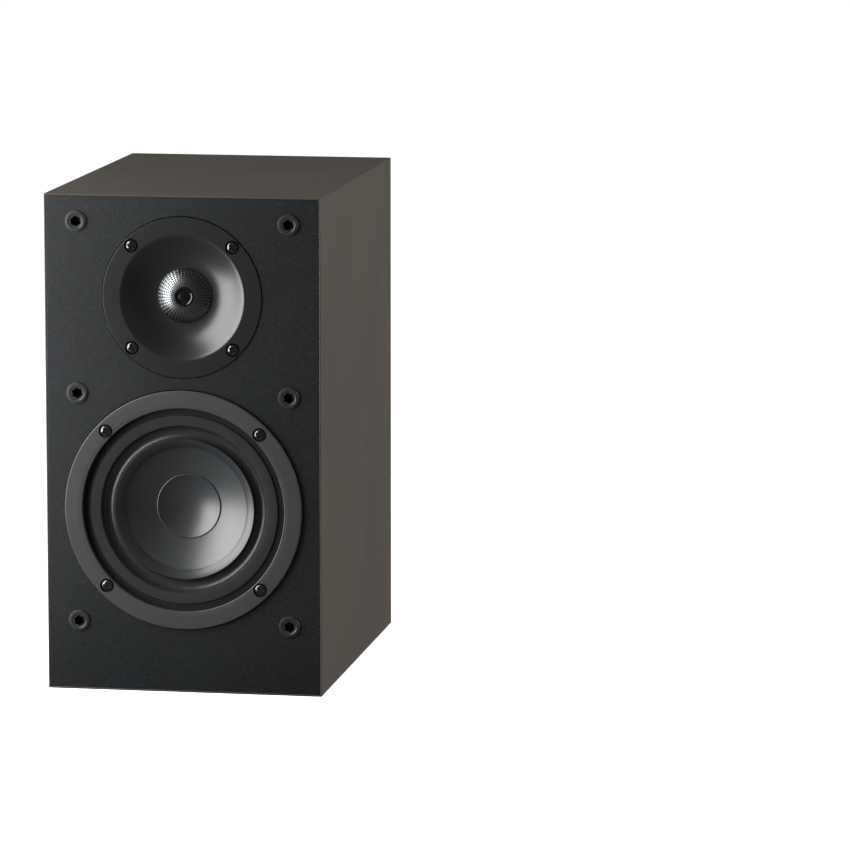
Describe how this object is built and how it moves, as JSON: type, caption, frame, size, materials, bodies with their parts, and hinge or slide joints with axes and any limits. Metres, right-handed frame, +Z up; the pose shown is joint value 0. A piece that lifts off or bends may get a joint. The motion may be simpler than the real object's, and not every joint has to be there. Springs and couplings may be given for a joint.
{
  "type": "bookshelf speaker",
  "caption": "Two-way bookshelf speaker: wrapped box, recessed drivers on a flush baffle, rear port and binding posts, cloth grille taken off and stood on edge beside it.",
  "frame": {"origin": "centre of the cabinet's footprint, on the surface it stands on", "axes": "+Z up, -Y out of the front baffle, +X to the right seen from the front"},
  "size_m": [0.1874, 0.2504, 0.295],
  "materials": {
    "cabinet_wrap": "dark vinyl wrap on fibreboard, satin, fine grain",
    "rear_wrap": "dark vinyl wrap on fibreboard, satin",
    "baffle_paint": "speckled satin paint on fibreboard",
    "bare_board": "bare fibreboard",
    "socket_plastic": "moulded",
    "fibre_pad": "loose polyester fibre",
    "trim_rubber": "satin moulded",
    "basket_paint": "black stoved paint",
    "foam_gasket": "closed-cell foam",
    "surround_rubber": "smooth butyl rubber",
    "cone_plastic": "satin mineral-filled polypropylene",
    "coil_copper": "enamelled copper winding",
    "spider_cloth": "varnished corrugated cloth",
    "plate_steel": "zinc-plated",
    "magnet_ferrite": "sintered ferrite, matt",
    "tag_board": "phenolic board",
    "screw_black": "black oxide, glossy",
    "faceplate_plastic": "satin moulded",
    "guard_metal": "perforated, dark bright plate",
    "dome_metal": "thin formed dome",
    "chamber_plastic": "moulded black",
    "post_metal": "gold-coloured plate",
    "post_red": "moulded red",
    "post_black": "moulded black",
    "circuit_board": "fibreglass board",
    "capacitor_film": "wrapped film",
    "resistor_ceramic": "ceramic case",
    "wire_red": "insulated wire",
    "wire_black": "insulated wire",
    "grille_board": "moulded black",
    "grille_knit": "fine black knit, stretched",
    "badge_metal": "plain satin nameplate"
  },
  "bodies": {
    "cabinet": {"top_panel": "cabinet_wrap", "bottom_panel": "cabinet_wrap", "left_side_panel": "cabinet_wrap", "right_side_panel": "cabinet_wrap", "rear_panel": "rear_wrap", "front_baffle": "baffle_paint", "window_brace": "bare_board", "grille_sockets": "socket_plastic", "damping_left": "fibre_pad", "damping_right": "fibre_pad", "damping_top": "fibre_pad", "woofer_trim_ring": "trim_rubber", "woofer_basket": "basket_paint", "woofer_gasket": "foam_gasket", "woofer_surround": "surround_rubber", "woofer_spider": "spider_cloth", "woofer_top_plate": "plate_steel", "woofer_magnet": "magnet_ferrite", "woofer_pole_plate": "plate_steel", "woofer_tag_strip": "tag_board", "woofer_screws": "screw_black", "tweeter_faceplate": "faceplate_plastic", "tweeter_guard": "guard_metal", "tweeter_suspension": "surround_rubber", "tweeter_gasket": "foam_gasket", "tweeter_top_plate": "plate_steel", "tweeter_magnet": "magnet_ferrite", "tweeter_pole_plate": "plate_steel", "tweeter_rear_chamber": "chamber_plastic", "tweeter_screws": "screw_black", "port_tube": "chamber_plastic", "terminal_cup": "chamber_plastic", "terminal_gasket": "foam_gasket", "terminal_screws": "screw_black", "post_studs": "post_metal", "post_hex_nuts": "post_metal", "post_ring_red": "post_red", "post_ring_black": "post_black", "crossover_board": "circuit_board", "crossover_standoffs": "post_metal", "crossover_coils": "coil_copper", "crossover_capacitors": "capacitor_film", "crossover_resistors": "resistor_ceramic", "woofer_leads": "wire_red", "tweeter_leads": "wire_black", "input_leads": "wire_red"},
    "woofer_cone": {"woofer_cone": "cone_plastic", "woofer_dust_cap": "cone_plastic", "woofer_voice_coil": "coil_copper"},
    "tweeter_dome": {"tweeter_dome": "dome_metal", "tweeter_voice_coil": "coil_copper"},
    "red_cap": {"post_cap_red": "post_red"},
    "black_cap": {"post_cap_black": "post_black"},
    "grille": {"grille_frame": "grille_board", "grille_pegs": "grille_board", "grille_cloth": "grille_knit", "grille_badge": "badge_metal"}
  },
  "joints": [
    {"name": "woofer_excursion", "type": "slide", "parent": "cabinet", "child": "woofer_cone", "axis": [0, -1, 0], "range_m": [-0.004, 0.004], "stiffness_N_per_m": 1000, "deforming": ["woofer_surround", "woofer_spider"]},
    {"name": "tweeter_excursion", "type": "slide", "parent": "cabinet", "child": "tweeter_dome", "axis": [0, -1, 0], "range_m": [-0.0005, 0.0005], "stiffness_N_per_m": 2000, "deforming": ["tweeter_suspension"]},
    {"name": "red_cap_turn", "type": "hinge", "parent": "cabinet", "child": "red_cap", "pos_m": [-0.016, 0.117, 0.084], "axis": [0, 1, 0], "range_deg": [0, 1800]},
    {"name": "black_cap_turn", "type": "hinge", "parent": "cabinet", "child": "black_cap", "pos_m": [0.016, 0.117, 0.084], "axis": [0, 1, 0], "range_deg": [0, 1800]},
    {"name": "grille_lift", "type": "slide", "parent": "cabinet", "child": "grille", "axis": [0, 0, 1], "range_m": [0, 0.1]}
  ]
}
